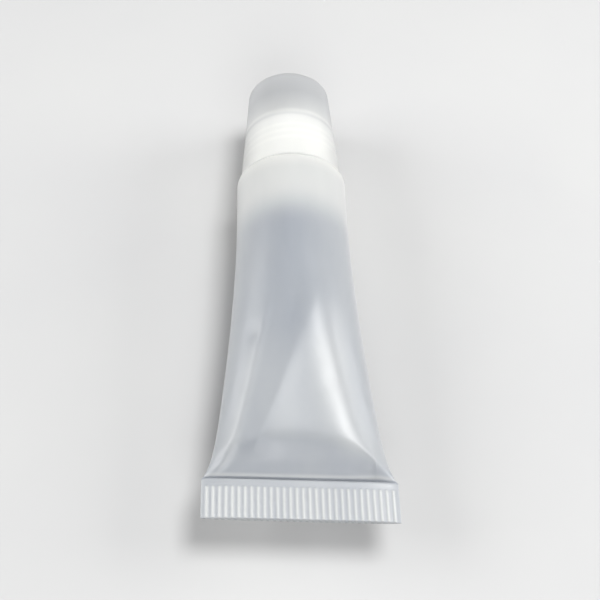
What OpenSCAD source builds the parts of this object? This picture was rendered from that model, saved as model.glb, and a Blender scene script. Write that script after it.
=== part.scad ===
// Soft squeeze tube for lip gloss: a crimped sleeve with a welded-in threaded head, a press-in orifice
// plug, and a screw cap that carries its own sealing pin.
// Every sub-part is drawn along +Z from the tail edge to the top of the cap, and lay_down() then lays it on
// its side: +Y runs from the tail to the cap, +Z is up, and z = 0 is the surface that the tube lies on.

/* [Sleeve] */
// Outside diameter of the sleeve's round end
tube_d = 16; // [15:0.5:20]
// Length of the sleeve from the tail edge to the shoulder
sleeve_len = 52; // [44:1:75]
// Wall thickness of the sleeve
wall = 0.45; // [0.35:0.05:0.55]
// How much the sleeve is flattened where it lies on a surface
rest_flat = 0.15; // [0.05:0.05:0.2]
// How far the flat panels rise in the steep part just above the crimp
panel_rise = 1.9; // [1.2:0.1:3]

/* [Crimped tail] */
// Length of the sealed tail, along the tube
crimp_len = 5.2; // [4:0.1:7]
// Thickness of the sealed tail between its ribs
crimp_t = 0.9; // [0.7:0.05:1.1]
// Number of pressed ribs across the tail
rib_count = 30; // [20:1:36]
// Height of each rib above the tail's face
rib_h = 0.12; // [0.08:0.01:0.2]
// Length of the plain band between the ribs and the sleeve
plain_band = 0.9; // [0.6:0.1:1.5]
// How much wider pressing makes the tail, at each side
tail_spread = 0.08; // [0:0.02:0.2]
// How far the pressed tail is out of square with the tube, in degrees
tail_skew = 3; // [-4:0.5:4]

/* [Head] */
// Outside diameter of the neck under its thread
neck_d = 9.8; // [9.6:0.1:9.9]
// Height of the neck above the shoulder
neck_h = 9.7; // [9:0.1:11]
// Bore of the neck
neck_bore = 7.4; // [7:0.1:7.6]
// Length of the skirt that is welded inside the sleeve
skirt_len = 9; // [6:0.5:10]

/* [Thread] */
// Lead of the single-start right-hand thread
thread_lead = 1.3; // [1.2:0.05:1.4]
// Turns of thread on the neck
neck_turns = 5.2; // [3:0.1:5.4]
// Turns of thread in the cap
cap_turns = 3.6; // [1.5:0.1:3.8]

/* [Orifice plug] */
// Diameter of the dispensing orifice
orifice_d = 2.3; // [2:0.1:3]
// Diameter of the plug's flange
flange_d = 9.6; // [9:0.1:9.7]

/* [Cap] */
// Outside diameter of the cap at its mouth
cap_base_d = 14.9; // [14.4:0.1:15]
// Outside diameter of the cap at its closed end
cap_top_d = 12.3; // [12:0.1:13]
// Length of the cap
cap_len = 17.2; // [16.8:0.1:20]
// Thickness of the cap's closed end
cap_end_t = 1.2; // [0.9:0.1:1.4]

/* [Sealing pin] */
// Diameter of the pin's hollow stem
pin_d = 4.3; // [4:0.1:4.4]

/* [Hidden] */
$fn = 96;
eps = 0.01;

tube_r = tube_d / 2;
body_len = sleeve_len - crimp_len;          // sleeve between the crimp line and the shoulder
round_len = body_len * 0.9;                 // the sleeve is fully round beyond this
rise_scale = 1.95;                          // how quickly the panels rise above the crimp
skew_fade = 20;                             // the skew dies out over this length of the sleeve
rest_h = tube_r - rest_flat;                // height of the tube's axis over the surface that it lies on
end_round = 0.35;                           // rounding of the sleeve's end at the shoulder
end_gap = 0.2;                              // the sleeve stops this far short of the shoulder's edge
weld_gap = 0.03;                            // stands for the weld between the sleeve and the skirt
ring_n = 60;                                // points in each ring of the sleeve
sleeve_rings = 24;
flat_power = 0.35;                          // how far a flat ring's sides keep to its two flat faces
cavity_start = 0.3;                         // the cavity's thin end lies this far above the crimp line
shoulder_z = sleeve_len + 0.1;              // flat top of the shoulder
rim_gap = 0.1;                              // gap under the rim of the closed cap
cap_z = shoulder_z + rim_gap;
total_len = cap_z + cap_len;
tail_reach = (half_w(crimp_t / 2) + tail_spread) * abs(tan(tail_skew));
neck_top = shoulder_z + neck_h;

flange_t = 0.9;
plug_top = neck_top + flange_t;
nozzle_h = 0.5;                             // raised lip round the orifice
nozzle_top = plug_top + nozzle_h;
plug_depth = 5;                             // barrel below the flange
plug_wall = 0.8;

thread_h = 0.5;                             // radial height of the neck's thread
thread_root = 0.45;                         // half width at the foot of a thread
thread_crest = 0.12;                        // half width at its crest
thread_steps = 32;                          // segments in each turn
neck_thread_z = shoulder_z + 1.9;
cap_bore_r = neck_d / 2 + thread_h + 0.15;  // bore of the cap clears the neck's thread
cap_thread_h = 0.45;
cap_thread_z = neck_thread_z + thread_lead * 0.55;

cap_inner_top = total_len - cap_end_t;
cap_edge = 0.8;                             // rounding of the cap's closed end
stop_z = plug_top + 0.3;                    // the bore narrows above the plug
boss_len = 2.5;
running = 0.05;                             // radial clearance of the pin in its boss and in the orifice
bead = 0.15;                                // height of the snap bead that holds the pin in its boss
bead_z = cap_inner_top - boss_len / 2;      // the bead stands in the middle of the boss

// Half height of the sleeve at distance s above the crimp line
function half_h(s) = crimp_t / 2 + panel_rise * (1 - exp(-s / rise_scale))
    + (tube_r - crimp_t / 2 - panel_rise) * (s < round_len ? sin(90 * s / round_len) : 1)
    + panel_rise * exp(-body_len / rise_scale);

// Half width that keeps the sleeve's girth constant while its half height is h
function half_w(h) = (PI * tube_r - (PI - 2) * h) / 2;

// How far the skewed tail moves a point along the tube
function lean(x, z) = -x * tan(tail_skew) * max(0, 1 - (z - crimp_len) / skew_fade);

// One ring of the sleeve: a flat oval that becomes a circle where w equals h
function ring(w, h, z, floor_h = rest_h) = [
    for (i = [0 : ring_n - 1])
        let (a = 360 * (i + 0.5) / ring_n, c = cos(a),
             x = h * c + (w - h) * sign(c) * pow(abs(c), flat_power))
        [x, min(h * sin(a), floor_h), z + lean(x, z)]
];

// Triangles that join ring number i to ring number j; flip turns them inside out
function band(i, j, flip = false) = [
    for (k = [0 : ring_n - 1])
        let (next = (k + 1) % ring_n,
             a = i * ring_n + k, b = i * ring_n + next,
             c = j * ring_n + k, d = j * ring_n + next)
        each (flip ? [[a, b, d], [a, d, c]] : [[a, d, b], [a, c, d]])
];

// Closed shell between an outer and an inner stack of rings, open at its far end
module shell(outer, inner) {
    n = len(outer);
    m = len(inner);
    points = [for (r = concat(outer, inner)) each r];
    near_outer = [for (k = [0 : ring_n - 1]) k];
    near_inner = [for (k = [ring_n - 1 : -1 : 0]) n * ring_n + k];
    faces = concat(
        [near_outer, near_inner],
        [for (i = [0 : n - 2]) each band(i, i + 1)],
        [for (i = [n : n + m - 2]) each band(i, i + 1, true)],
        band(n - 1, n + m - 1));
    polyhedron(points, faces, convexity = 6);
}

module sleeve_body() {
    top = body_len - end_gap;
    spread = 1.5;                           // rings stand closer together near the crimp
    outer = [
        for (i = [0 : sleeve_rings])
            let (s = (top - end_round) * pow(i / sleeve_rings, spread), h = half_h(s))
            ring(half_w(h), h, crimp_len + s),
        for (a = [30 : 30 : 90])
            let (r = tube_r - end_round * (1 - cos(a)))
            ring(r, r, crimp_len + top - end_round + end_round * sin(a))
    ];
    inner = [
        for (i = [0 : sleeve_rings])
            let (s = cavity_start + (top - cavity_start) * pow(i / sleeve_rings, spread), h = half_h(s))
            ring(half_w(h) - wall, h - wall, crimp_len + s, tube_r)
    ];
    shell(outer, inner);
}

// Section of the ribbed tail: both faces carry rib_count ridges of trapezoid section
module ribbed_section() {
    w = half_w(crimp_t / 2) + tail_spread;
    margin = 0.35;
    pitch = 2 * (w - margin) / rib_count;
    foot = 0.15;                            // a rib's foot and its crest start at these shares of the pitch
    crest = 0.35;
    rib = [[foot, 0], [crest, rib_h], [1 - crest, rib_h], [1 - foot, 0]];
    face = [for (i = [0 : rib_count - 1], p = rib) [margin - w + (i + p[0]) * pitch, p[1]]];
    t = crimp_t / 2;
    edge = 0.2;
    upper = [for (p = face) [p[0], t + p[1]]];
    lower = [for (i = [len(face) - 1 : -1 : 0]) [face[i][0], -t - face[i][1]]];
    polygon(concat(
        [[-w, t - edge], [-w + edge, t]], upper, [[w - edge, t], [w, t - edge]],
        [[w, edge - t], [w - edge, -t]], lower, [[edge - w, -t], [-w, edge - t]]));
}

// Slab of the tail between two heights, with its ends leaning with the skew
module leaning(low, high) {
    w = half_w(crimp_t / 2) + 1;
    rise = w * tan(tail_skew);
    reach = abs(rise) + eps;
    depth = 2 * crimp_t;
    intersection() {
        translate([0, 0, low - reach]) linear_extrude(high - low + 2 * reach) children();
        translate([0, depth / 2, 0]) rotate([90, 0, 0]) linear_extrude(depth) polygon([
            [-w, low + rise], [w, low - rise], [w, high - rise], [-w, high + rise]
        ]);
    }
}

module crimped_tail() {
    w = half_w(crimp_t / 2) + tail_spread;
    union() {
        leaning(0, crimp_len - plain_band) ribbed_section();
        leaning(crimp_len - plain_band - eps, crimp_len + cavity_start / 2)
            square([2 * w, crimp_t], center = true);
    }
}

// A helical ridge of trapezoid section. It starts at z = start with its foot on radius r_foot, and its
// crest on r_crest, which is smaller than r_foot for a thread inside a bore.
module helix_ridge(start, turns, r_foot, r_crest) {
    steps = round(turns * thread_steps);
    outward = r_crest > r_foot;
    sink = outward ? -0.2 : 0.2;            // the foot and both ends are sunk into the wall
    runout = thread_steps / 4;              // the ridge fades in and out over a quarter turn
    function fade(i) = min(1, i / runout, (steps - i) / runout);
    function section(i) =
        let (a = 360 * i / thread_steps, z = start + thread_lead * i / thread_steps,
             foot = r_foot + sink, start_r = r_foot + sink / 2,
             crest = start_r + (r_crest - start_r) * fade(i))
        [
            for (p = [[foot, -thread_root], [crest, -thread_crest],
                      [crest, thread_crest], [foot, thread_root]])
                [p[0] * cos(a), p[0] * sin(a), z + p[1]]
        ];
    points = [for (i = [0 : steps]) each section(i)];
    sides = [
        for (i = [0 : steps - 1], k = [0 : 3])
            let (a = 4 * i + k, b = 4 * i + (k + 1) % 4, c = a + 4, d = b + 4)
            each (outward ? [[a, b, d], [a, d, c]] : [[a, d, b], [a, c, d]])
    ];
    first = outward ? [3, 2, 1, 0] : [0, 1, 2, 3];
    last = [for (k = outward ? [0, 1, 2, 3] : [3, 2, 1, 0]) 4 * steps + k];
    polyhedron(points, concat([first], sides, [last]), convexity = 8);
}

module lay_down() {
    translate([0, (tail_reach - total_len) / 2, rest_h]) rotate([-90, 0, 0]) children();
}

module tube_sleeve() {
    color("#e4e8ea") lay_down() union() {
        sleeve_body();
        crimped_tail();
    }
}

module tube_head() {
    skirt_t = 0.7;
    skirt_low = sleeve_len - skirt_len;
    skirt_r = tube_r - wall - weld_gap;
    skirt_low_r = half_h(body_len - skirt_len) - wall - weld_gap;
    skirt_in = skirt_low_r - skirt_t;
    under = sleeve_len - 1.3;               // inside of the shoulder
    neck_r = neck_d / 2;
    corner = 0.3;
    color("#f0f1ec") lay_down() union() {
        rotate_extrude() polygon([
            [skirt_low_r - corner, skirt_low], [skirt_low_r, skirt_low],
            [skirt_r, max(crimp_len + round_len, skirt_low + 1)], [skirt_r, sleeve_len - corner],
            [skirt_r - corner, shoulder_z], [neck_r, shoulder_z],
            [neck_r, neck_top - corner], [neck_r - corner, neck_top],
            [neck_bore / 2, neck_top], [neck_bore / 2, under], [skirt_in, under - skirt_t]
        ]);
        helix_ridge(neck_thread_z, neck_turns, neck_r, neck_r + thread_h);
    }
}

module orifice_plug() {
    barrel_r = neck_bore / 2;
    barrel_low = neck_top - plug_depth;
    flange_r = flange_d / 2;
    nozzle_r = 2;
    floor_z = neck_top - 0.6;               // underside of the wall that the orifice goes through
    corner = 0.25;
    color("#f4f5f1") lay_down() rotate_extrude() polygon([
        [barrel_r - plug_wall, barrel_low], [barrel_r - corner, barrel_low],
        [barrel_r, barrel_low + 2 * corner], [barrel_r, neck_top], [flange_r, neck_top],
        [flange_r, plug_top - corner], [flange_r - corner, plug_top], [nozzle_r, plug_top],
        [nozzle_r - corner, nozzle_top], [orifice_d / 2, nozzle_top], [orifice_d / 2, floor_z],
        [barrel_r - plug_wall, floor_z]
    ]);
}

module sealing_pin() {
    stem_r = pin_d / 2;
    tip_r = orifice_d / 2 - running;
    tip_z = plug_top - 1.7;
    seat = nozzle_top + 0.2;                // the stem's end stands over the nozzle
    top = cap_inner_top - 0.1;
    core_r = 1.4;                           // the stem is hollow from its top down to core_z
    core_z = seat + 1;
    corner = 0.4;
    color("#fbfbf8") lay_down() rotate_extrude() polygon([
        [0, tip_z], [tip_r - corner, tip_z], [tip_r, tip_z + corner], [tip_r, seat],
        [stem_r - corner, seat], [stem_r, seat + corner],
        [stem_r, bead_z - bead * 2], [stem_r + bead, bead_z - bead],
        [stem_r + bead, bead_z + bead], [stem_r, bead_z + bead * 2],
        [stem_r, top - bead], [stem_r - bead, top], [core_r, top], [core_r, core_z], [0, core_z]
    ]);
}

module screw_cap() {
    base_r = cap_base_d / 2;
    top_r = cap_top_d / 2;
    mouth_edge = 0.25;
    lead_in = 0.4;                          // the bore flares at the mouth
    end_inner_r = cap_bore_r - 0.7;
    // The boss grips the pin, and its groove takes the pin's bead with some room at both sides
    boss_r = pin_d / 2 + running;
    boss_z = cap_inner_top - boss_len;
    groove_r = boss_r + bead;
    groove_half = bead * 1.4;
    groove_mouth = groove_half + bead;
    boss_wall = 1;
    draft = 0.15;
    edge_z = total_len - cap_edge;
    corner = top_r + (base_r - top_r) * cap_edge / cap_len;
    rounding = [
        for (a = [0 : 15 : 90])
            [corner - cap_edge + cap_edge * cos(a), edge_z + cap_edge * sin(a)]
    ];
    color("#dde1e4") lay_down() union() {
        rotate_extrude() polygon(concat(
            [[base_r - mouth_edge, cap_z], [base_r, cap_z + mouth_edge]],
            rounding,
            [[0, total_len], [0, cap_inner_top], [boss_r, cap_inner_top],
             [boss_r, bead_z + groove_mouth], [groove_r, bead_z + groove_half],
             [groove_r, bead_z - groove_half], [boss_r, bead_z - groove_mouth],
             [boss_r, boss_z], [boss_r + boss_wall, boss_z],
             [boss_r + boss_wall + draft, cap_inner_top], [end_inner_r, cap_inner_top],
             [end_inner_r + draft, stop_z + lead_in], [cap_bore_r, stop_z],
             [cap_bore_r, cap_z + lead_in], [cap_bore_r + lead_in, cap_z]]));
        helix_ridge(cap_thread_z, cap_turns, cap_bore_r, cap_bore_r - cap_thread_h);
    }
}

tube_sleeve();
tube_head();
orifice_plug();
sealing_pin();
screw_cap();
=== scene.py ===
"""Looks for the lip gloss tube: a frosted squeeze tube with a crimped tail and a screw cap.

Lengths are in millimetres, and turned into metres where a mesh is made. A point of the tube is given
by x across the flat tail, `along` from the middle of the tail's edge towards the cap, and `up` from
the tube's axis. The sleeve's own `s` also runs towards the cap, and is 0 where the crimp ends.
"""

import math

import bmesh
import bpy
import numpy as np
from mathutils import Euler, Matrix, Vector


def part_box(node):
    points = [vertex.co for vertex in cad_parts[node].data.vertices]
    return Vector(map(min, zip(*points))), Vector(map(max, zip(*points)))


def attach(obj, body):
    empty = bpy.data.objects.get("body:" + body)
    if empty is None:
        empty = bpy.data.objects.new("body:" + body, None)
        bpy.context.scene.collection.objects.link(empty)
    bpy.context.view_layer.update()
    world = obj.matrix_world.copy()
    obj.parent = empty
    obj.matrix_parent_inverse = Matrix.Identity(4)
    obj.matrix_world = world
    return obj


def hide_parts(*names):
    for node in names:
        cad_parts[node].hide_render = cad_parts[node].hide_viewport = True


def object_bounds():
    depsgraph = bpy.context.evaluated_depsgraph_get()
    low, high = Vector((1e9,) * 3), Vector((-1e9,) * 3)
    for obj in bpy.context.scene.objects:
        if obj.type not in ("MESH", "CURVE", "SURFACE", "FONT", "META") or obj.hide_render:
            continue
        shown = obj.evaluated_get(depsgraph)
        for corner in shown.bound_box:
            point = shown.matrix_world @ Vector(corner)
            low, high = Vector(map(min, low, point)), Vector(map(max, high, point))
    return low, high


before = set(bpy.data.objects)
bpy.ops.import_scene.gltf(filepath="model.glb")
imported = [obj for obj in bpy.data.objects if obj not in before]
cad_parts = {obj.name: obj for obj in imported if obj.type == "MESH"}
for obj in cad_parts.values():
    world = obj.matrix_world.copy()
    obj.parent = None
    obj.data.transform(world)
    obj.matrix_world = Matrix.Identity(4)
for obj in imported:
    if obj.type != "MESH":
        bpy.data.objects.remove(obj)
cad_low, cad_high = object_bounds()

MM = 0.001

# ---- dimensions, as in the CAD model -------------------------------------------------------------
TUBE_R = 8.0
WALL = 0.45
REST_FLAT = 0.15
SLEEVE_LEN = 52.0
CRIMP_LEN = 5.2
CRIMP_T = 0.9
TAIL_SPREAD = 0.08
TAIL_SKEW = math.tan(math.radians(3))
SKEW_FADE = 20.0
PANEL_RISE = 1.9
RISE_SCALE = 1.95
BODY_LEN = SLEEVE_LEN - CRIMP_LEN
ROUND_LEN = 0.9 * BODY_LEN
END_GAP = 0.2
WELD_GAP = 0.03
END_ROUND = 0.35
RIB_COUNT = 30
RIB_MARGIN = 0.35
RIB_H = 0.12
PLAIN_BAND = 0.9
SKIRT_LEN = 9.0

SHOULDER = SLEEVE_LEN + 0.1
NECK_R = 4.9
NECK_TOP = SHOULDER + 9.7
NECK_BORE_R = 3.7
PITCH = 1.3
THREAD_ROOT = 0.45
THREAD_CREST = 0.12
NECK_THREAD = {"radius": NECK_R, "height": 0.5, "start": SHOULDER + 1.9, "turns": 5.2}
CAP_BORE_R = NECK_R + 0.5 + 0.15
CAP_THREAD = {
    "radius": CAP_BORE_R, "height": -0.45, "start": NECK_THREAD["start"] + 0.55 * PITCH, "turns": 3.6,
}

FLANGE_R = 4.8
PLUG_TOP = NECK_TOP + 0.9
NOZZLE_TOP = PLUG_TOP + 0.5
ORIFICE_R = 1.15
BARREL_LEN = 5
BARREL_WALL = 0.8
PIN_R = 2.15
STEM_BORE_R = 1.4
BEAD = 0.15
CAP_LOW = SHOULDER + 0.1
CAP_LEN = 17.2
CAP_TOP = CAP_LOW + CAP_LEN
CAP_BASE_R = 7.45
CAP_TOP_R = 6.15
CAP_INNER_TOP = CAP_TOP - 1.2
BORE_STEP = PLUG_TOP + 0.3
BOSS_R = PIN_R + 0.05
BOSS_LEN = 2.5
BEAD_AT = CAP_INNER_TOP - BOSS_LEN / 2
GATE_R = 0.7
GATE_DEPTH = 0.12

cap_corner_low, cap_corner_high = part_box("screw_cap")
AXIS_UP = (cap_corner_low.z + cap_corner_high.z) / 2
TAIL_Y = cap_corner_high.y - CAP_TOP * MM


def to_row(x, along, up):
    """Points of the tube, in millimetres, as points of the row frame, in metres."""
    x, along, up = np.broadcast_arrays(x, along, up)
    return np.stack([x * MM, TAIL_Y + along * MM, AXIS_UP + up * MM], axis=-1)


# ---- meshes --------------------------------------------------------------------------------------
SHARP_ANGLE = math.radians(40)
SAME_POINT = 1e-7


def make_object(name, points, faces, material, milk_and_light):
    """A smooth piece, with its coinciding points merged, and how white it looks at each point, painted
    light and shade included.
    """
    mesh = bpy.data.meshes.new(name)
    mesh.from_pydata([tuple(p) for p in points.reshape(-1, 3)], [], faces)
    mesh.attributes.new("milk_and_light", "FLOAT", "POINT").data.foreach_set("value", milk_and_light)
    shape = bmesh.new()
    shape.from_mesh(mesh)
    bmesh.ops.remove_doubles(shape, verts=shape.verts, dist=SAME_POINT)
    bmesh.ops.recalc_face_normals(shape, faces=shape.faces)
    for face in shape.faces:
        face.smooth = True
    for edge in shape.edges:
        edge.smooth = edge.calc_face_angle(0) < SHARP_ANGLE
    shape.to_mesh(mesh)
    shape.free()
    mesh.materials.append(material)
    piece = bpy.data.objects.new(name, mesh)
    bpy.context.scene.collection.objects.link(piece)
    return piece


def grid_faces(rows, columns, first=0):
    """Quads between neighbouring rings of a stack, each ring closing on itself."""
    faces = []
    for i in range(rows - 1):
        for j in range(columns):
            k = (j + 1) % columns
            a = first + i * columns
            faces.append((a + j, a + k, a + columns + k, a + columns + j))
    return faces


def smoothstep(value):
    value = np.clip(value, 0, 1)
    return value * value * (3 - 2 * value)


def bell(distance, width):
    return np.exp(-((distance / width) ** 2))


# ---- sleeve --------------------------------------------------------------------------------------
ACROSS = 300
BODY_RINGS = 84
CAVITY_RINGS = 36
CAVITY_START = 0.35
FLAT_POWER = 0.35
SIDE_FADE = 0.14


def half_height(s):
    """Half the sleeve's height: it rises quickly above the crimp, then swells until it is round."""
    rise = PANEL_RISE * (1 - np.exp(-s / RISE_SCALE))
    swell = (TUBE_R - CRIMP_T / 2 - PANEL_RISE) * np.sin(np.pi / 2 * np.clip(s / ROUND_LEN, 0, 1))
    return CRIMP_T / 2 + rise + swell + PANEL_RISE * math.exp(-BODY_LEN / RISE_SCALE)


def half_width(height):
    """Half width that keeps the sleeve's girth constant."""
    return (math.pi * TUBE_R - (math.pi - 2) * height) / 2


def across():
    """Places across a face of the sleeve from -1 to 1, closer together at the sides."""
    even = np.linspace(-1, 1, ACROSS + 1)
    return 0.3 * even + 0.7 * np.sin(np.pi / 2 * even)


def ribs(x, s):
    """Share of its full height that a pressed rib of the crimp has there."""
    reach = half_width(CRIMP_T / 2) + TAIL_SPREAD - RIB_MARGIN
    pitch = 2 * reach / RIB_COUNT
    wave = 0.5 - 0.5 * np.cos(2 * np.pi * (x + reach) / pitch)
    end = smoothstep((-PLAIN_BAND - s) / 0.35) * smoothstep((s + CRIMP_LEN) / 0.25 + 0.4)
    return wave**2.2 * end * (np.abs(x) < reach)


def crease(s):
    """Depth of the narrow groove above the crimp, with a raised lip at each side."""
    return 0.26 * bell(s - 0.05, 0.09) - 0.05 * bell(s - 0.4, 0.22) - 0.03 * bell(s + 0.3, 0.2)


def knee_end(x):
    """Where the slope above the crimp ends."""
    return 5.0 * np.sqrt(np.clip(1 - ((x + 1) / 11.5) ** 2, 0.15, 1))


def knee(x, s):
    """Makes the rise above the crimp one straight slope that ends in a curved bend across the panel."""
    ramp = s / knee_end(x)
    bend = 0.12
    straight = 0.5 * (ramp + 1 - np.sqrt((ramp - 1) ** 2 + bend**2))
    return PANEL_RISE * (straight - (1 - np.exp(-s / RISE_SCALE))) * smoothstep((12 - s) / 6)


def left_ridge(s):
    """Where the soft ridge of the left side runs."""
    return 0.23 * s - 9.0 - 2.6 * np.exp(-s / 2)


def right_ridge(s):
    """Where the soft ridge of the right side runs."""
    return 3.2 + 6 * np.exp(-s / 8) + 1.5 * np.exp(-s)


def folds(x, s):
    """Height of the soft folds that handling has left in the upper panel."""
    break_x = 0.43 * s - 6.9
    beside = x - break_x
    side = np.where(beside < 0, 2.3, 6.5)
    soft = 0.3 + 1.2 * smoothstep((s - 8) / 16)
    roof = 0.5 * np.exp(-(np.sqrt(beside**2 + soft**2) - soft) / side)
    roof = roof * smoothstep((s - 1.5) / 3) * smoothstep((32 - s) / 12)
    left = (0.22 + 0.15 * np.exp(-s / 3)) * bell(x - left_ridge(s), 0.8)
    left = left * smoothstep(s / 1.5) * smoothstep((25 - s) / 5)
    right = 0.2 * bell(x - right_ridge(s), 2.9) * smoothstep(s / 1.5) * smoothstep((36 - s) / 18)
    groove_x = 5.2 + 6 * np.exp(-s / 12)
    groove = 0.12 * bell(x - groove_x, 1.1) * smoothstep((s - 2) / 3) * smoothstep((34 - s) / 16)
    dent = 0.2 * bell(x + 5.6, 0.9) * bell(s - 18.7, 1.2)
    return roof + left + right - groove - dent


def milk_and_painted_light(x, s, ribbed):
    """How white the sleeve looks: whiter over the head's skirt, towards its end and on the ribs, with
    painted highlights on the lip above the crease and along both side ridges, and painted shade in the
    crease, across the middle of the upper panel and on the slope above the crimp.
    """
    skirt = 0.51 * smoothstep((s - (BODY_LEN - SKIRT_LEN) + 3.2) / 6.5)
    end = 0.25 * smoothstep((s - BODY_LEN + 2.6) / 2.4)
    # Painted highlight along the lip just above the crease.
    lip = 0.25 * bell(s - 0.4, 0.2)
    # Painted shade in the crease.
    painted_crease_shade = 1.0 * bell(s - 0.05, 0.1)
    # Painted shade across the middle of the upper panel.
    middle = 0.16 * bell(x, 4.5) * smoothstep((s - 13) / 8) * smoothstep((42 - s) / 8)
    # Painted highlight along the right side ridge.
    right = 0.22 * bell(x - right_ridge(s), 2.6) * smoothstep((s - 1) / 3) * smoothstep((26 - s) / 12)
    # Painted highlight along the left side ridge.
    left = 0.14 * bell(x - left_ridge(s), 1.0) * smoothstep(s / 1.5) * smoothstep((20 - s) / 8)
    # Painted shade on the slope above the crimp.
    painted_slope_shade = 0.1 * smoothstep(s / 0.3) * smoothstep(knee_end(x) - s)
    return 0.175 + skirt + end + 0.46 * ribbed + lip + right + left - painted_crease_shade - middle - painted_slope_shade


def ring(width, height, s, floor=-TUBE_R):
    """x, up and whiteness of a ring of the sleeve, painted highlights and shade included: the upper face
    to the right, the lower face back.
    """
    t = across()
    c = np.sign(t) * np.abs(t) ** (1 / FLAT_POWER)
    x = height * c + (width - height) * t
    flat_up = height * np.sqrt(np.clip(1 - c * c, 0, 1))
    ribbed = ribs(x, s) if s < 0 else 0 * x
    low = np.maximum(-flat_up - RIB_H * ribbed, floor)
    relief = RIB_H * ribbed
    if s > 0:
        inward = smoothstep((1 - np.abs(t)) / SIDE_FADE)
        relief = (knee(x, s) + folds(x, s)) * inward
    milk_and_light = milk_and_painted_light(x, s, ribbed)
    both = [np.concatenate([x, x[-2:0:-1]]), np.concatenate([flat_up + relief, low[-2:0:-1]])]
    return *both, np.concatenate([milk_and_light, milk_and_light[-2:0:-1]])


def lean(x, s):
    """How far the skew of the tail moves a point along the tube."""
    return -x * TAIL_SKEW * np.clip(1 - s / SKEW_FADE, 0, 1)


def sleeve_rings():
    """The outer skin, from the tail's edge to the rounded end. Its rings are closest at the crease."""
    rings = []
    crimp_rows = np.concatenate([
        [-CRIMP_LEN, -CRIMP_LEN + 0.06],
        np.linspace(-CRIMP_LEN + 0.15, -PLAIN_BAND - 0.5, 9),
        np.linspace(-PLAIN_BAND - 0.4, -PLAIN_BAND + 0.05, 8),
        np.linspace(-PLAIN_BAND + 0.25, -0.35, 3),
        np.linspace(-0.25, -0.03, 6),
    ])
    for s in crimp_rows:
        edge = 0.06 if s == -CRIMP_LEN else 0.0
        h = CRIMP_T / 2 - crease(s) - edge
        w = half_width(CRIMP_T / 2) + TAIL_SPREAD - edge
        rings.append((ring(w, h, s), s))
    fine = 0.2
    body_rows = fine + (BODY_LEN - END_GAP - END_ROUND - fine) * np.linspace(0, 1, BODY_RINGS) ** 1.6
    body_rows = np.concatenate([np.linspace(0, fine, 8)[:-1], body_rows])
    for s in body_rows:
        h = half_height(s) - crease(s)
        rings.append((ring(half_width(half_height(s)), h, s, floor=REST_FLAT - TUBE_R), s))
    for angle in (30, 60, 90):
        a = math.radians(angle)
        r = TUBE_R - END_ROUND * (1 - math.cos(a))
        s = BODY_LEN - END_GAP - END_ROUND + END_ROUND * math.sin(a)
        rings.append((ring(r, r, s, floor=REST_FLAT - TUBE_R), s))
    return rings


def cavity_rings():
    """The inner skin, a wall's thickness inside the outer one."""
    length = BODY_LEN - END_GAP - CAVITY_START
    rows = CAVITY_START + length * np.linspace(0, 1, CAVITY_RINGS) ** 1.5
    return [(ring(half_width(half_height(s)) - WALL, half_height(s) - WALL, s), s) for s in rows]


def bridge(first, columns):
    """Quads that close a flat ring by joining its upper face to its lower face."""
    faces = []
    for j in range(ACROSS):
        upper = (first + j, first + j + 1)
        lower = (first + (columns - j - 1) % columns, first + (columns - j) % columns)
        # The two faces share their points at the sides, where the quad is a triangle.
        faces.append(tuple(dict.fromkeys(upper + lower)))
    return faces


def make_sleeve(material):
    columns = 2 * ACROSS
    outer = sleeve_rings()
    inner = cavity_rings()
    points, milk_and_light = [], []
    # white is how white the sleeve looks there, painted highlights and shade included.
    for (x, up, white), s in outer + inner:
        points.append(to_row(x, CRIMP_LEN + s + lean(x, s), up))
        milk_and_light.append(white)
    n, m = len(outer), len(inner)
    faces = grid_faces(n, columns) + grid_faces(m, columns, n * columns)
    faces += bridge(0, columns) + bridge(n * columns, columns)
    a, b = (n - 1) * columns, (n + m - 1) * columns
    for j in range(columns):
        k = (j + 1) % columns
        faces.append((a + j, a + k, b + k, b + j))
    return make_object("sleeve", np.array(points), faces, material, np.concatenate(milk_and_light))


# ---- turned parts --------------------------------------------------------------------------------
SEGMENTS = 192
THREAD_STEP = 0.065
WALL_STEP = 0.15
ARC_STEPS = 5
LONG_STRETCH = 3
SAME_RADIUS = 1e-6


def rounded(corners):
    """A closed outline with each corner (r, along, radius) replaced by an arc of that radius."""
    outline = []
    count = len(corners)
    for i, (r, along, radius) in enumerate(corners):
        here = np.array([r, along])
        if radius <= 0:
            outline.append(here)
            continue
        before = np.array(corners[i - 1][:2]) - here
        after = np.array(corners[(i + 1) % count][:2]) - here
        before /= np.linalg.norm(before)
        after /= np.linalg.norm(after)
        half = math.acos(np.clip(before @ after, -1, 1)) / 2
        reach = radius / math.tan(half)
        middle = (before + after) / np.linalg.norm(before + after)
        centre = here + middle * radius / math.sin(half)
        start, end = here + before * reach - centre, here + after * reach - centre
        turn = math.acos(np.clip(start @ end / radius**2, -1, 1))
        for k in range(ARC_STEPS + 1):
            f = k / ARC_STEPS
            spot = (start * math.sin((1 - f) * turn) + end * math.sin(f * turn)) / math.sin(turn)
            outline.append(centre + spot)
    return outline


def subdivided(outline, low, high, step):
    """The outline with its long straight stretches between two radii cut into short steps."""
    fine = []
    for i, here in enumerate(outline):
        after = outline[(i + 1) % len(outline)]
        fine.append(here)
        narrow, wide = min(here[0], after[0]), max(here[0], after[0])
        within = low - SAME_RADIUS < narrow and wide < high + SAME_RADIUS
        length = abs(after[1] - here[1])
        if within and length > LONG_STRETCH:
            pieces = round(length / step)
            fine += [here + (after - here) * k / pieces for k in range(1, pieces)]
    return fine


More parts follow.
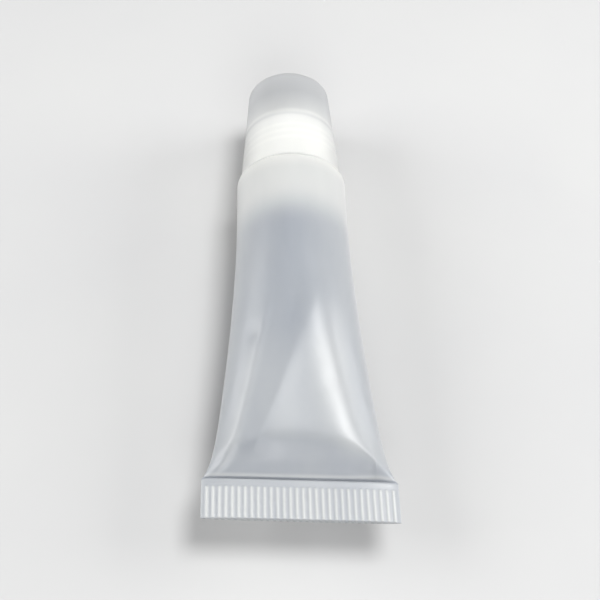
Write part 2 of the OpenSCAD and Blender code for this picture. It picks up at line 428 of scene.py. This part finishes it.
def ridge(theta, along, thread):
    """Height of a right-hand helical ridge over the wall at that angle and place."""
    turn = (along - thread["start"]) / PITCH - theta / (2 * np.pi)
    nearest = np.round(turn)
    beside = np.abs(turn - nearest) * PITCH
    run = nearest + theta / (2 * np.pi)
    fade = smoothstep(np.minimum(run, thread["turns"] - run) / 0.25)
    profile = smoothstep((THREAD_ROOT - beside) / (THREAD_ROOT - THREAD_CREST))
    return thread["height"] * fade * profile


def lathe(name, outline, material, thread=None, white=None):
    """A closed turned solid, all milky but for painted shade in the gaps of its thread, unless white
    says otherwise.
    """
    if thread:
        outline = subdivided(outline, thread["radius"], thread["radius"], THREAD_STEP)
    outline = np.array(outline)
    count = len(outline)
    theta = np.linspace(0, 2 * np.pi, SEGMENTS, endpoint=False)[:, None]
    r = np.repeat(outline[None, :, 0], SEGMENTS, axis=0)
    along = np.repeat(outline[None, :, 1], SEGMENTS, axis=0)
    milk_and_light = np.ones_like(r)
    if thread:
        on_wall = np.abs(outline[:, 0] - thread["radius"]) < SAME_RADIUS
        height = ridge(theta, along, thread) * on_wall
        r = r + height
        # Painted shade: the gaps of the thread take the clear colour.
        milk_and_light = np.where(on_wall, height / thread["height"], milk_and_light)
    if white:
        milk_and_light = white(theta, along)
    points = to_row(r * np.cos(theta), along, -r * np.sin(theta))
    faces = []
    for i in range(SEGMENTS):
        for j in range(count):
            k = (j + 1) % count
            if outline[j, 0] < SAME_RADIUS and outline[k, 0] < SAME_RADIUS:
                continue  # A stretch of the outline along the axis sweeps out no face.
            a, b = i * count, (i + 1) % SEGMENTS * count
            faces.append((a + j, a + k, b + k, b + j))
    return make_object(name, points, faces, material, milk_and_light.ravel())


def make_head(material):
    """Skirt, shoulder and threaded neck in one moulding."""
    skirt_low = SLEEVE_LEN - SKIRT_LEN
    skirt_r = TUBE_R - WALL - WELD_GAP
    skirt_low_r = float(half_height(BODY_LEN - SKIRT_LEN)) - WALL - WELD_GAP
    skirt_t = 0.7
    skirt_in = skirt_low_r - skirt_t
    under = SLEEVE_LEN - 1.3
    outline = rounded([
        (skirt_low_r - 0.3, skirt_low, 0), (skirt_low_r, skirt_low, 0.1),
        (skirt_r, CRIMP_LEN + ROUND_LEN, 0), (skirt_r, SLEEVE_LEN - 0.3, 0.2),
        (skirt_r - 0.3, SHOULDER, 0.1), (NECK_R, SHOULDER, 0.25), (NECK_R, NECK_TOP, 0.4),
        (NECK_BORE_R, NECK_TOP, 0), (NECK_BORE_R, under, 0.3), (skirt_in, under - skirt_t, 0.5),
    ])
    return lathe("head", outline, material, NECK_THREAD)


def make_plug(material):
    """Barrel in the neck, flange on its rim, and a short nozzle round the orifice."""
    barrel = NECK_BORE_R
    inside = barrel - BARREL_WALL
    low = NECK_TOP - BARREL_LEN
    outline = rounded([
        (inside, low, 0.1), (barrel - 0.15, low, 0.1), (barrel, low + 0.4, 0.1), (barrel, NECK_TOP, 0),
        (FLANGE_R, NECK_TOP, 0.3), (FLANGE_R, PLUG_TOP, 0.3),
        (2.0, PLUG_TOP, 0.2), (1.75, NOZZLE_TOP, 0.15),
        (ORIFICE_R, NOZZLE_TOP, 0.12), (ORIFICE_R, NECK_TOP - 0.6, 0.1), (inside, NECK_TOP - 0.6, 0.3),
    ])
    return lathe("plug", outline, material)


def make_pin(material):
    """Tip in the orifice, hollow stem and snap bead."""
    tip_r = ORIFICE_R - 0.05
    tip = PLUG_TOP - 1.7
    seat = NOZZLE_TOP + 0.2
    top = CAP_INNER_TOP - 0.1
    outline = rounded([
        (0, tip, 0), (tip_r, tip, 0.4), (tip_r, seat, 0.1), (PIN_R, seat, 0.35),
        (PIN_R, BEAD_AT - BEAD * 2, 0.1), (PIN_R + BEAD, BEAD_AT - BEAD, 0.08),
        (PIN_R + BEAD, BEAD_AT + BEAD, 0.08), (PIN_R, BEAD_AT + BEAD * 2, 0.1), (PIN_R, top, 0.2),
        (STEM_BORE_R, top, 0.1), (STEM_BORE_R, seat + 1, 0.3), (0, seat + 0.8, 0),
    ])
    return lathe("pin", outline, material)


def cap_milk_and_painted_glow(theta, along):
    """How white the cap looks: whiter towards its mouth, where its wall is thicker and the neck's glow
    is painted in, whiter over its thread, and with a painted glow of the plug's flange in a ring near
    the neck's rim, above a darker ring.
    """
    # Whiter towards the mouth: thicker wall, and painted glow from the neck inside.
    mouth = 0.88 * np.clip((CAP_TOP - 4 - along) / 6, 0, 1)
    # Painted glow of the plug's flange in a ring, with a darker ring just below it.
    rim = 0.3 * bell(along - NECK_TOP + 0.65, 0.3) - 0.33 * bell(along - NECK_TOP + 1.35, 0.28)
    thread = 0.12 * ridge(theta, along, CAP_THREAD) / CAP_THREAD["height"]
    return mouth + rim + thread


def make_cap(material):
    """Tapered shell with a gate mark in its end. Inside are a thread and the boss that holds the pin."""
    groove = BOSS_R + BEAD
    boss_low = CAP_INNER_TOP - BOSS_LEN
    gate = CAP_TOP - GATE_DEPTH
    outline = rounded([
        (CAP_BORE_R + 0.4, CAP_LOW, 0.1), (CAP_BASE_R, CAP_LOW, 0.3), (CAP_TOP_R, CAP_TOP, 0.8),
        (GATE_R, CAP_TOP, 0.1), (GATE_R - 0.2, gate, 0.08), (0, gate, 0),
        (0, CAP_INNER_TOP, 0), (BOSS_R, CAP_INNER_TOP, 0),
        (BOSS_R, BEAD_AT + BEAD * 2.4, 0), (groove, BEAD_AT + BEAD * 1.4, 0),
        (groove, BEAD_AT - BEAD * 1.4, 0), (BOSS_R, BEAD_AT - BEAD * 2.4, 0),
        (BOSS_R, boss_low, 0.1), (BOSS_R + 1, boss_low, 0.2),
        (BOSS_R + 1.15, CAP_INNER_TOP, 0.3), (CAP_BORE_R - 0.7, CAP_INNER_TOP, 0.6),
        (CAP_BORE_R - 0.5, BORE_STEP + 0.5, 0.2), (CAP_BORE_R, BORE_STEP, 0),
        (CAP_BORE_R, CAP_LOW + 0.5, 0),
    ])
    outline = subdivided(outline, CAP_TOP_R - 0.5, CAP_BASE_R, WALL_STEP)
    return lathe("cap", outline, material, CAP_THREAD, cap_milk_and_painted_glow)


# ---- materials -----------------------------------------------------------------------------------
CLOUD_SCALE = 170
PATCH_SCALE = 420
GRAIN_SCALE = 2600
UNEVENNESS = 0.05


def new_material(name):
    material = bpy.data.materials.new(name)
    material.use_nodes = True
    nodes = material.node_tree.nodes
    nodes.clear()
    shader = nodes.new("ShaderNodeBsdfPrincipled")
    output = nodes.new("ShaderNodeOutputMaterial")
    material.node_tree.links.new(shader.outputs["BSDF"], output.inputs["Surface"])
    return material, shader


def noise(material, scale, detail, along=1):
    """Noise with about that many features in a metre, stretched along the tube by that factor."""
    tree = material.node_tree
    place = tree.nodes.new("ShaderNodeTexCoord")
    mapping = tree.nodes.new("ShaderNodeMapping")
    texture = tree.nodes.new("ShaderNodeTexNoise")
    mapping.inputs["Scale"].default_value = (1, 1 / along, 1)
    texture.inputs["Scale"].default_value = scale
    texture.inputs["Detail"].default_value = detail
    tree.links.new(place.outputs["Object"], mapping.inputs["Vector"])
    tree.links.new(mapping.outputs["Vector"], texture.inputs["Vector"])
    return texture.outputs["Fac"]


def between(material, value, low, high):
    """Noise, nearly all of which lies between 0.3 and 0.7, spread over another range."""
    node = material.node_tree.nodes.new("ShaderNodeMapRange")
    node.inputs["From Min"].default_value = 0.3
    node.inputs["From Max"].default_value = 0.7
    node.inputs["To Min"].default_value = low
    node.inputs["To Max"].default_value = high
    material.node_tree.links.new(value, node.inputs["Value"])
    return node.outputs["Result"]


def mixed(material, factor, first, second):
    """The first colour where the factor is 0, and the second where it is 1."""
    node = material.node_tree.nodes.new("ShaderNodeMix")
    node.data_type = "RGBA"
    node.inputs["A"].default_value = (*first, 1)
    node.inputs["B"].default_value = (*second, 1)
    material.node_tree.links.new(factor, node.inputs["Factor"])
    return node.outputs["Result"]


def bumped(material, shader, height):
    """A barely raised grain."""
    node = material.node_tree.nodes.new("ShaderNodeBump")
    node.inputs["Strength"].default_value = 0.12
    node.inputs["Distance"].default_value = 0.02 * MM
    material.node_tree.links.new(height, node.inputs["Height"])
    material.node_tree.links.new(node.outputs["Normal"], shader.inputs["Normal"])


def plastic(name, clear, white, milk_and_light, roughness, alpha=1.0):
    """Cloudy moulded plastic with an uneven satin gloss.

    Its colour is between clear and white by the whiteness given there, which holds painted light and
    shade for the sleeve, head and cap, or half-way if none is given.
    """
    material, shader = new_material(name)
    tree = material.node_tree
    cloud = between(material, noise(material, CLOUD_SCALE, 4, 3), -UNEVENNESS, UNEVENNESS)
    total = tree.nodes.new("ShaderNodeMath")
    total.operation = "ADD"
    total.use_clamp = True
    tree.links.new(cloud, total.inputs[0])
    if milk_and_light is None:
        total.inputs[1].default_value = 0.5
    else:
        tree.links.new(milk_and_light(material), total.inputs[1])
    colour = mixed(material, total.outputs["Value"], clear, white)
    tree.links.new(colour, shader.inputs["Base Color"])
    patches = noise(material, PATCH_SCALE, 5, 2)
    uneven = between(material, patches, roughness - UNEVENNESS, roughness + UNEVENNESS)
    tree.links.new(uneven, shader.inputs["Roughness"])
    bumped(material, shader, noise(material, GRAIN_SCALE, 2))
    shader.inputs["IOR"].default_value = 1.5
    shader.inputs["Alpha"].default_value = alpha
    return material, shader


def milky(shader, weight, scale):
    """Light that spreads inside the plastic before it comes out."""
    shader.inputs["Subsurface Weight"].default_value = weight
    shader.inputs["Subsurface Radius"].default_value = (1.0, 1.0, 0.95)
    shader.inputs["Subsurface Scale"].default_value = scale * MM


def sheer(shader, weight):
    """Paler where the wall is seen edge on, as thin cloudy plastic is."""
    shader.inputs["Sheen Weight"].default_value = weight
    shader.inputs["Sheen Roughness"].default_value = 0.4
    shader.inputs["Sheen Tint"].default_value = (1, 1, 1, 1)


def mesh_milk_and_light(material):
    """How white the mesh says that its plastic looks, painted light and shade included."""
    node = material.node_tree.nodes.new("ShaderNodeAttribute")
    node.attribute_name = "milk_and_light"
    return node.outputs["Fac"]


def sleeve_material():
    clear, white = (0.33, 0.352, 0.385), (0.70, 0.70, 0.67)
    material, shader = plastic("sleeve_plastic", clear, white, mesh_milk_and_light, 0.34, 0.75)
    milky(shader, 0.3, 1.0)
    sheer(shader, 0.7)
    return material


def head_material():
    # The clear colour is painted shade in the gaps of the neck's thread.
    clear, white = (0.74, 0.75, 0.73), (0.97, 0.97, 0.95)
    material, shader = plastic("head_plastic", clear, white, mesh_milk_and_light, 0.35)
    milky(shader, 0.5, 1.2)
    return material


def plug_material():
    clear, white = (0.92, 0.92, 0.90), (0.97, 0.97, 0.95)
    material, shader = plastic("plug_plastic", clear, white, None, 0.25)
    milky(shader, 0.5, 0.8)
    return material


def pin_material():
    clear, white = (0.72, 0.73, 0.73), (0.80, 0.81, 0.81)
    return plastic("pin_plastic", clear, white, None, 0.3, 0.35)[0]


def cap_material():
    clear, white = (0.60, 0.61, 0.62), (0.98, 0.98, 0.96)
    material, shader = plastic("cap_plastic", clear, white, mesh_milk_and_light, 0.4, 0.82)
    shader.inputs["Transmission Weight"].default_value = 0.6
    shader.inputs["IOR"].default_value = 1.15
    sheer(shader, 0.2)
    return material


def floor_material():
    material, shader = new_material("floor_paper")
    tone = between(material, noise(material, 30, 5), 0, 1)
    colour = mixed(material, tone, (0.51, 0.51, 0.505), (0.49, 0.49, 0.49))
    material.node_tree.links.new(colour, shader.inputs["Base Color"])
    shader.inputs["Roughness"].default_value = 0.8
    return material


# ---- stage ---------------------------------------------------------------------------------------
def make_floor():
    bpy.ops.mesh.primitive_plane_add(size=6, location=(0, 0, cad_low.z))
    floor = bpy.context.object
    floor.name = "floor"
    floor.data.materials.append(floor_material())


def area_light(name, place, size, watts):
    """A soft lamp at that place, in millimetres, facing the middle of the tube."""
    data = bpy.data.lights.new(name, "AREA")
    data.shape = "RECTANGLE"
    data.size, data.size_y = size[0] * MM, size[1] * MM
    data.energy = watts
    lamp = bpy.data.objects.new(name, data)
    lamp.location = Vector(place) * MM
    lamp.rotation_euler = (-lamp.location).to_track_quat("-Z", "Y").to_euler()
    bpy.context.scene.collection.objects.link(lamp)


def make_lights():
    area_light("overhead", (130, 40, 420), (160, 160), 1.6)
    area_light("right", (420, 60, 180), (240, 240), 1.4)
    area_light("left", (-380, 60, 200), (300, 300), 1.6)
    area_light("front", (60, -420, 300), (300, 160), 1.1)
    world = bpy.data.worlds.new("studio")
    world.use_nodes = True
    world.node_tree.nodes["Background"].inputs["Color"].default_value = (0.9, 0.93, 1, 1)
    world.node_tree.nodes["Background"].inputs["Strength"].default_value = 0.1
    bpy.context.scene.world = world
    bpy.context.scene.view_settings.view_transform = "Standard"


def make_camera():
    """Close above the tail, looking down along the tube."""
    data = bpy.data.cameras.new("camera")
    data.sensor_width = 36
    data.lens = 63
    data.clip_start = 0.005
    camera = bpy.data.objects.new("camera", data)
    pitch, yaw, roll = math.radians(58.2), math.radians(-2.3), math.radians(0.8)
    turn = Euler((math.pi / 2 - pitch, 0, yaw)).to_matrix() @ Matrix.Rotation(roll, 3, "Z")
    place = to_row(-2.3, -45.0, 124.3)
    camera.matrix_world = Matrix.Translation(Vector(place)) @ turn.to_4x4()
    bpy.context.scene.collection.objects.link(camera)
    bpy.context.scene.camera = camera


# ---- assembly ------------------------------------------------------------------------------------
PIECES = [
    (make_sleeve, sleeve_material, "tube", "tube_sleeve", "sleeve"),
    (make_head, head_material, "tube", "tube_head", "head"),
    (make_plug, plug_material, "tube", "orifice_plug", "plug"),
    (make_pin, pin_material, "pin", "sealing_pin", "pin"),
    (make_cap, cap_material, "cap", "screw_cap", "cap"),
]

for make_piece, make_material, body, node, slot in PIECES:
    piece = make_piece(make_material())
    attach(piece, body)
    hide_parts(node)

make_floor()
make_lights()
make_camera()
